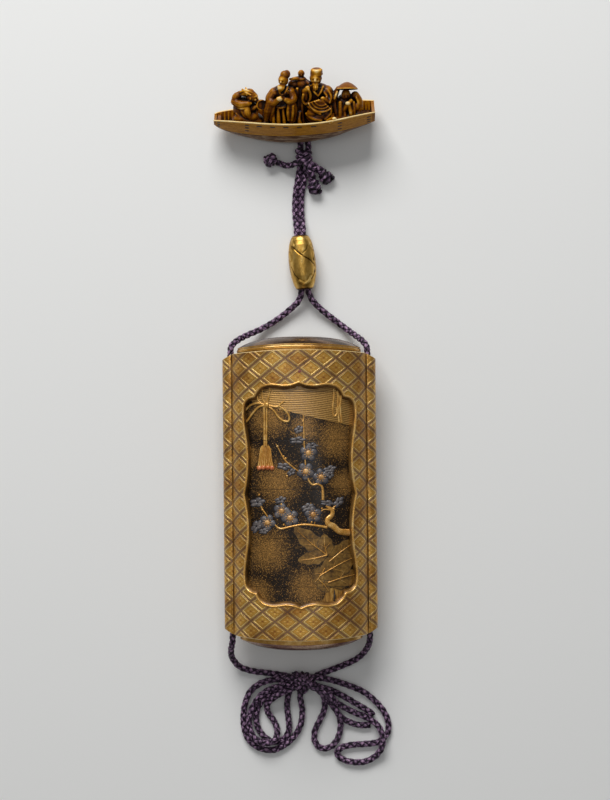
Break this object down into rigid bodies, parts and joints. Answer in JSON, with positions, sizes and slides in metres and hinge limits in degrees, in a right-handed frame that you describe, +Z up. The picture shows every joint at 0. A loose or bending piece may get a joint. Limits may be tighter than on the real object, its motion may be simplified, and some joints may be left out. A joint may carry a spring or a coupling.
{
  "type": "inro case",
  "caption": "Oval lacquered case in an open sheath with a lobed window, with stacked inner cases, a barrel bead, a boat toggle and a knotted silk cord",
  "frame": {"origin": "middle of the flat on the back of the sheath, on which the case lies", "axes": "+Z up from the flat to the window, +Y along the case from the bow towards the netsuke, +X to the right seen from above"},
  "size_m": [0.0553, 0.2247, 0.0228],
  "materials": {
    "gold_lacquer": "gold lacquer with a lozenge pattern",
    "gold_dust_lacquer": "polished gold-dust lacquer",
    "black_lacquer": "black lacquer with gold dust and a raised picture",
    "gilt_bead": "gilt, low relief",
    "stained_ivory": "polished stained ivory",
    "silk_cord": "braided purple silk"
  },
  "bodies": {
    "root": {"sheath": "gold_lacquer", "lid": "gold_dust_lacquer", "case_1": "black_lacquer", "case_2": "black_lacquer", "case_3": "black_lacquer", "case_4": "black_lacquer", "case_5": "black_lacquer", "ojime": "gilt_bead", "netsuke": "stained_ivory", "cord_left": "silk_cord", "cord_right": "silk_cord", "cord_knot": "silk_cord", "cord_bow": "silk_cord"}
  },
  "joints": []
}
